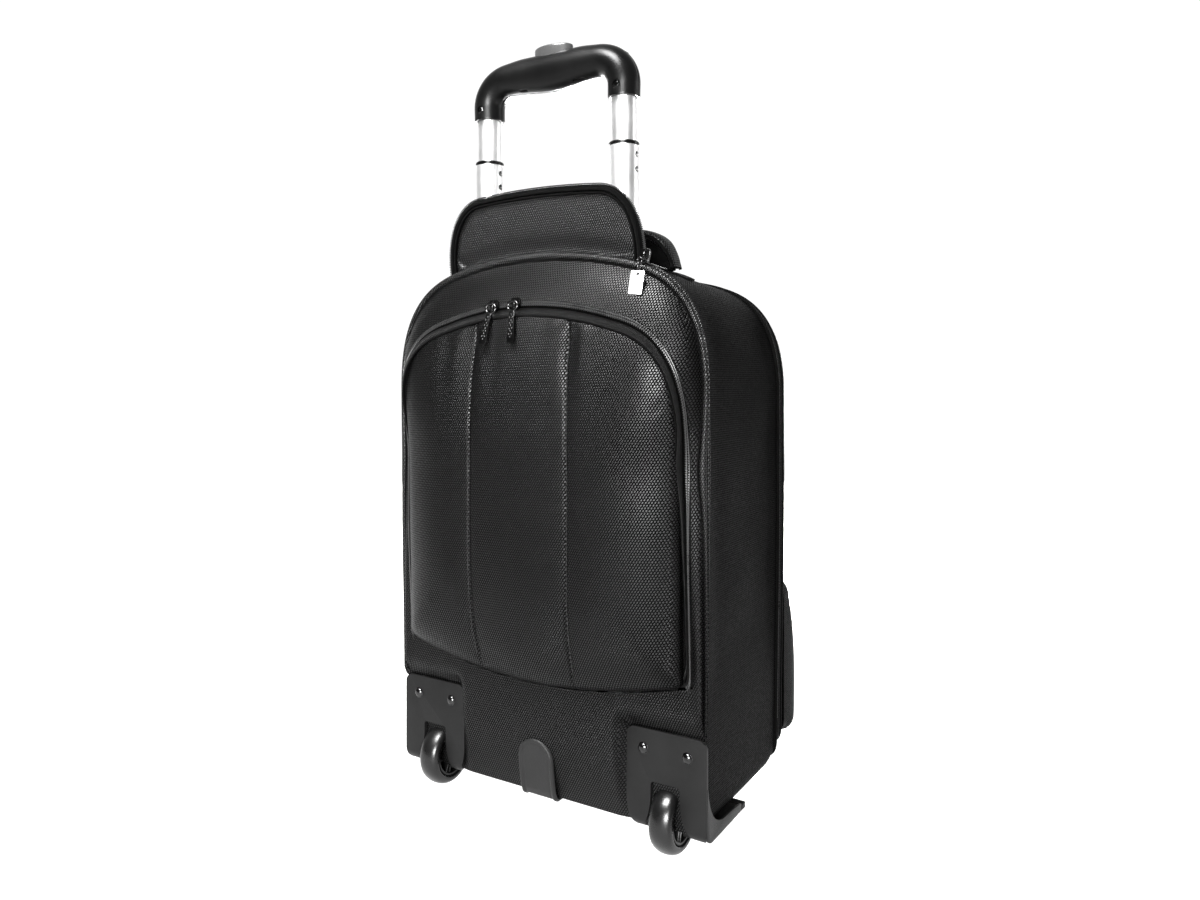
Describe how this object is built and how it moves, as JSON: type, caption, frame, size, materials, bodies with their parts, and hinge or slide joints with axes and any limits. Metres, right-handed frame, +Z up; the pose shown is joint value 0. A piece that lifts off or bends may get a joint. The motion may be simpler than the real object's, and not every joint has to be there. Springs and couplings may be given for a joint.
{
  "type": "rolling laptop case",
  "caption": "Soft wheeled laptop case with a two-stage pull handle, hinged front panel, zip-open back, two wheels and corner brackets.",
  "frame": {"origin": "on the floor, under the middle of the case", "axes": "+Z up, -Y towards the wheel side that carries the front panel, +X to the right seen from that side"},
  "size_m": [0.326, 0.2738, 0.7023],
  "materials": {
    "twill_fabric": "black ballistic twill, diagonal weave, slight sheen",
    "gusset_fabric": "black plain-weave polyester, matt and finer than the front",
    "lining_fabric": "dark grey nylon lining",
    "board": "black polyethylene sheet",
    "zip_tape": "black zip tape with nylon coil",
    "handle_tube": "satin silver anodised aluminium",
    "tyre": "glossy black polyurethane tyre",
    "black_plastic": "black moulded plastic",
    "dark_metal": "black nickel plated zinc",
    "grip_plastic": "black satin moulded grip",
    "chrome_tag": "polished nickel",
    "button_plastic": "grey satin plastic",
    "steel": "zinc plated steel",
    "rubber": "black rubber",
    "guard_rubber": "black grained rubber with a sewn edge",
    "bracket_plastic": "dark grey moulded plastic, fine grain",
    "inner_plastic": "black moulded plastic"
  },
  "bodies": {
    "case": {"bag_shell": "gusset_fabric", "front_frame": "twill_fabric", "front_zip_track": "zip_tape", "main_zip_track": "zip_tape", "handle_board": "board", "laptop_divider": "lining_fabric", "base_tray": "inner_plastic", "handle_bezel": "inner_plastic", "outer_tube_left": "handle_tube", "outer_tube_right": "handle_tube", "wheel_bracket_left": "bracket_plastic", "wheel_bracket_right": "bracket_plastic", "skid_cap_left": "rubber", "skid_cap_right": "rubber", "bracket_rivet_left_1": "dark_metal", "bracket_rivet_left_2": "dark_metal", "bracket_rivet_right_1": "dark_metal", "bracket_rivet_right_2": "dark_metal", "wheel_axle_left": "steel", "wheel_axle_right": "steel", "rear_foot_left": "rubber", "rear_foot_right": "rubber", "centre_guard": "guard_rubber", "flap_slider": "dark_metal"},
    "wheel_left": {"wheel_tyre_left": "tyre", "wheel_hub_left": "black_plastic"},
    "wheel_right": {"wheel_tyre_right": "tyre", "wheel_hub_right": "black_plastic"},
    "mid_stage": {"mid_tube_left": "handle_tube", "mid_tube_right": "handle_tube", "mid_collar_left": "black_plastic", "mid_collar_right": "black_plastic", "mid_guide_left": "inner_plastic", "mid_guide_right": "inner_plastic"},
    "upper_stage": {"upper_tube_left": "handle_tube", "upper_tube_right": "handle_tube", "upper_guide_left": "inner_plastic", "upper_guide_right": "inner_plastic", "grip_front": "grip_plastic", "grip_rear": "grip_plastic", "grip_screw_left": "dark_metal", "grip_screw_right": "dark_metal", "button_spring": "steel"},
    "button": {"release_button": "button_plastic", "release_rod_left": "steel", "release_rod_right": "steel"},
    "lock_pin_left": {"lock_pin_left": "steel"},
    "lock_pin_right": {"lock_pin_right": "steel"},
    "flap": {"handle_flap": "twill_fabric"},
    "flap_pull": {"flap_pull": "chrome_tag"},
    "front_panel": {"front_panel": "twill_fabric"},
    "front_slider_left": {"front_slider_left": "dark_metal"},
    "front_slider_right": {"front_slider_right": "dark_metal"},
    "front_pull_left": {"front_pull_left": "dark_metal"},
    "front_pull_right": {"front_pull_right": "dark_metal"},
    "back_cover": {"back_cover": "gusset_fabric", "rear_pocket": "twill_fabric"},
    "carry_handle": {"carry_handle": "twill_fabric"},
    "main_slider_left": {"main_slider_left": "dark_metal"},
    "main_slider_right": {"main_slider_right": "dark_metal"}
  },
  "joints": [
    {"name": "wheel_left_spin", "type": "hinge", "parent": "case", "child": "wheel_left", "pos_m": [-0.1254, -0.0794, 0.0293], "axis": [1, 0, 0], "continuous": true},
    {"name": "wheel_right_spin", "type": "hinge", "parent": "case", "child": "wheel_right", "pos_m": [0.1254, -0.0794, 0.0293], "axis": [1, 0, 0], "continuous": true},
    {"name": "handle_mid_slide", "type": "slide", "parent": "case", "child": "mid_stage", "axis": [0, 0, 1], "range_m": [-0.144, 0.15]},
    {"name": "handle_upper_slide", "type": "slide", "parent": "mid_stage", "child": "upper_stage", "axis": [0, 0, 1], "range_m": [-0.0385, 0.19]},
    {"name": "button_press", "type": "slide", "parent": "upper_stage", "child": "button", "axis": [0, 0, 1], "range_m": [-0.004, 0], "stiffness_N_per_m": 1500, "springref_m": 0.003},
    {"name": "lock_pin_left_slide", "type": "slide", "parent": "upper_stage", "child": "lock_pin_left", "axis": [1, 0, 0], "range_m": [-0.003, 0]},
    {"name": "lock_pin_right_slide", "type": "slide", "parent": "upper_stage", "child": "lock_pin_right", "axis": [1, 0, 0], "range_m": [-0.003, 0]},
    {"name": "flap_fold", "type": "hinge", "parent": "case", "child": "flap", "pos_m": [0, -0.0976, 0.506], "axis": [1, 0, 0], "range_deg": [-8, 100]},
    {"name": "flap_pull_swing", "type": "hinge", "parent": "case", "child": "flap_pull", "pos_m": [0.1085, -0.1054, 0.498], "axis": [1, 0, 0], "range_deg": [-80, 0]},
    {"name": "front_panel_open", "type": "hinge", "parent": "case", "child": "front_panel", "pos_m": [0, -0.108, 0.128], "axis": [1, 0, 0], "range_deg": [0, 95]},
    {"name": "front_slider_left_travel", "type": "hinge", "parent": "front_panel", "child": "front_slider_left", "pos_m": [0, -0.1212, 0.163], "axis": [0, 1, 0], "range_deg": [-11, 0]},
    {"name": "front_slider_right_travel", "type": "hinge", "parent": "front_panel", "child": "front_slider_right", "pos_m": [0, -0.1212, 0.163], "axis": [0, 1, 0], "range_deg": [0, 18]},
    {"name": "front_pull_left_swing", "type": "hinge", "parent": "front_slider_left", "child": "front_pull_left", "pos_m": [-0.031, -0.1276, 0.4604], "axis": [1, 0, 0], "range_deg": [-100, 0]},
    {"name": "front_pull_right_swing", "type": "hinge", "parent": "front_slider_right", "child": "front_pull_right", "pos_m": [-0.007, -0.1276, 0.46192], "axis": [1, 0, 0], "range_deg": [-100, 0]},
    {"name": "back_cover_open", "type": "hinge", "parent": "case", "child": "back_cover", "pos_m": [0, 0.078, 0.037], "axis": [1, 0, 0], "range_deg": [-60, 0]},
    {"name": "carry_handle_lift", "type": "hinge", "parent": "case", "child": "carry_handle", "pos_m": [0, -0.028, 0.496], "axis": [1, 0, 0], "range_deg": [-20, 20]},
    {"name": "main_slider_left_travel", "type": "hinge", "parent": "case", "child": "main_slider_left", "pos_m": [0, 0.078, 0.124], "axis": [0, 1, 0], "range_deg": [-11, 0]},
    {"name": "main_slider_right_travel", "type": "hinge", "parent": "case", "child": "main_slider_right", "pos_m": [0, 0.078, 0.124], "axis": [0, 1, 0], "range_deg": [0, 11]}
  ],
  "couplings": [
    {"joint": "lock_pin_left_slide", "follows": "button_press", "ratio": 0.75},
    {"joint": "lock_pin_right_slide", "follows": "button_press", "ratio": 0.75}
  ]
}
